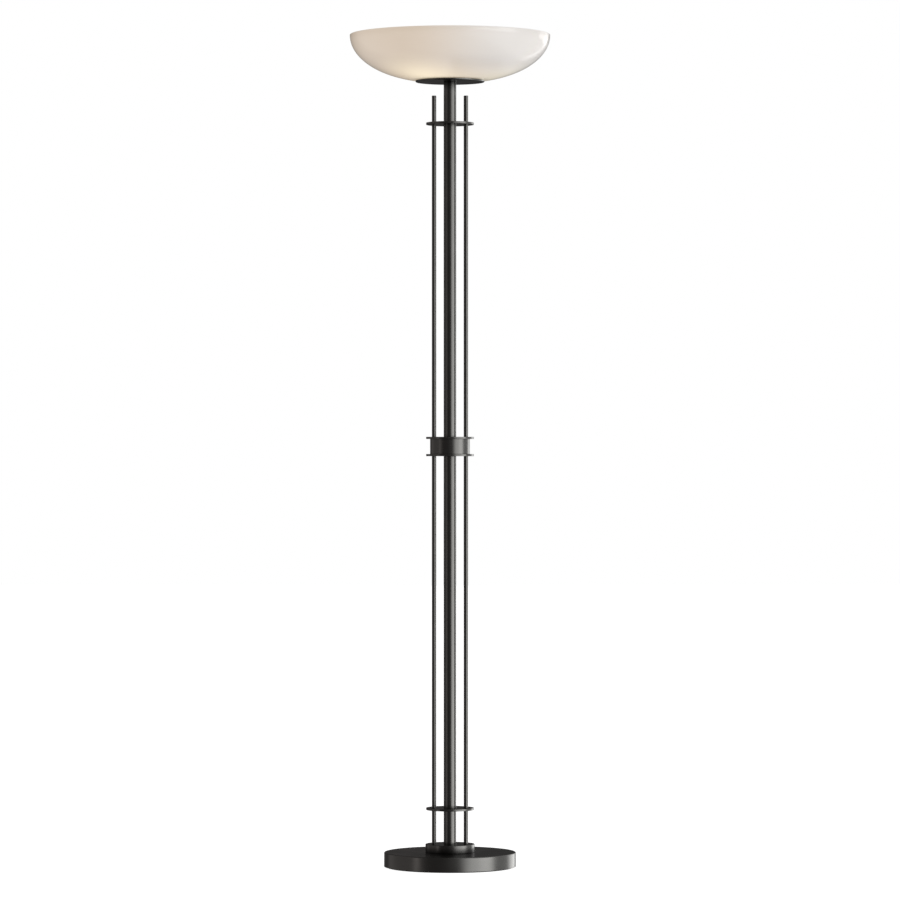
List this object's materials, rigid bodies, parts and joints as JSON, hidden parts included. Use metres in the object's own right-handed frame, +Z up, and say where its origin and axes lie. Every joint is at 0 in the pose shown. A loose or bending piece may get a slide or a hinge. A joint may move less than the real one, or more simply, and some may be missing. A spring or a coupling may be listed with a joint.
{
  "type": "torchiere floor lamp",
  "caption": "Torchiere floor lamp: weighted round base, dark stem flanked by thin side rods and tied by rings and a drum, topped by an upward opal glass bowl around a bulb cluster.",
  "frame": {"origin": "on the floor, at the centre of the base's underside", "axes": "+Z up along the stem; the rods stand left and right of it along X; -Y is the front and the cord gland is at the back, on +Y"},
  "size_m": [0.428, 0.428, 1.778],
  "materials": {
    "blackened_metal": "satin",
    "cast_iron": "matte",
    "plain_steel": "satin",
    "brass": "satin",
    "bulb_cap_metal": "satin",
    "opal_glass": "gloss",
    "frosted_glass": "satin",
    "black_felt": "matte",
    "black_nylon": "satin",
    "black_rubber": "matte",
    "phenolic": "satin",
    "lead_sheath": "satin"
  },
  "bodies": {
    "lamp": {"base_felt_pad": "black_felt", "base_bottom_plate": "plain_steel", "bottom_plate_screw_1": "plain_steel", "bottom_plate_screw_2": "plain_steel", "bottom_plate_screw_3": "plain_steel", "base_weight": "cast_iron", "base_cover": "blackened_metal", "cord_bushing": "black_nylon", "base_washer": "plain_steel", "base_lock_washer": "plain_steel", "base_nut": "brass", "base_nipple": "plain_steel", "base_collar": "blackened_metal", "rod_foot_screw_left": "plain_steel", "rod_foot_screw_right": "plain_steel", "lower_stem_tube": "blackened_metal", "lower_stem_insert": "plain_steel", "lower_spacer_ring": "blackened_metal", "lower_rod_left": "blackened_metal", "lower_rod_right": "blackened_metal", "drum_lower_disc": "blackened_metal", "drum_sleeve": "blackened_metal", "drum_upper_disc": "blackened_metal", "stem_joiner": "plain_steel", "rod_stud_left": "plain_steel", "rod_stud_right": "plain_steel", "upper_stem_tube": "blackened_metal", "upper_rod_left": "blackened_metal", "upper_rod_right": "blackened_metal", "upper_spacer_ring": "blackened_metal", "upper_stem_insert": "plain_steel", "inner_lead": "lead_sheath", "shade_plate": "blackened_metal", "head_nipple": "plain_steel", "lower_gasket": "black_rubber", "glass_bowl": "opal_glass", "glass_centring_bush": "black_nylon", "upper_gasket": "black_rubber", "clamp_washer": "plain_steel", "clamp_nut": "brass", "cluster_body": "blackened_metal", "cluster_cap": "blackened_metal", "socket_1": "phenolic", "socket_shell_1": "brass", "socket_2": "phenolic", "socket_shell_2": "brass", "socket_3": "phenolic", "socket_shell_3": "brass"},
    "bulb_travel_1": {"bulb_contact_1": "plain_steel"},
    "bulb_1": {"bulb_cap_1": "bulb_cap_metal", "bulb_glass_1": "frosted_glass"},
    "bulb_travel_2": {"bulb_contact_2": "plain_steel"},
    "bulb_2": {"bulb_cap_2": "bulb_cap_metal", "bulb_glass_2": "frosted_glass"},
    "bulb_travel_3": {"bulb_contact_3": "plain_steel"},
    "bulb_3": {"bulb_cap_3": "bulb_cap_metal", "bulb_glass_3": "frosted_glass"}
  },
  "joints": [
    {"name": "bulb_slide_1", "type": "slide", "parent": "lamp", "child": "bulb_travel_1", "axis": [-0.5736, -0.8192, 0], "range_m": [0, 0.02179]},
    {"name": "bulb_screw_1", "type": "hinge", "parent": "bulb_travel_1", "child": "bulb_1", "pos_m": [0, 0, 1.735], "axis": [-0.5736, -0.8192, 0], "range_deg": [0, 2160]},
    {"name": "bulb_slide_2", "type": "slide", "parent": "lamp", "child": "bulb_travel_2", "axis": [0.9962, -0.0872, 0], "range_m": [0, 0.02179]},
    {"name": "bulb_screw_2", "type": "hinge", "parent": "bulb_travel_2", "child": "bulb_2", "pos_m": [0, 0, 1.735], "axis": [0.9962, -0.0872, 0], "range_deg": [0, 2160]},
    {"name": "bulb_slide_3", "type": "slide", "parent": "lamp", "child": "bulb_travel_3", "axis": [-0.4226, 0.9063, 0], "range_m": [0, 0.02179]},
    {"name": "bulb_screw_3", "type": "hinge", "parent": "bulb_travel_3", "child": "bulb_3", "pos_m": [0, 0, 1.735], "axis": [-0.4226, 0.9063, 0], "range_deg": [0, 2160]}
  ],
  "couplings": [
    {"joint": "bulb_slide_1", "follows": "bulb_screw_1", "m_per_rad": 0.00057751},
    {"joint": "bulb_slide_2", "follows": "bulb_screw_2", "m_per_rad": 0.00057751},
    {"joint": "bulb_slide_3", "follows": "bulb_screw_3", "m_per_rad": 0.00057751}
  ]
}
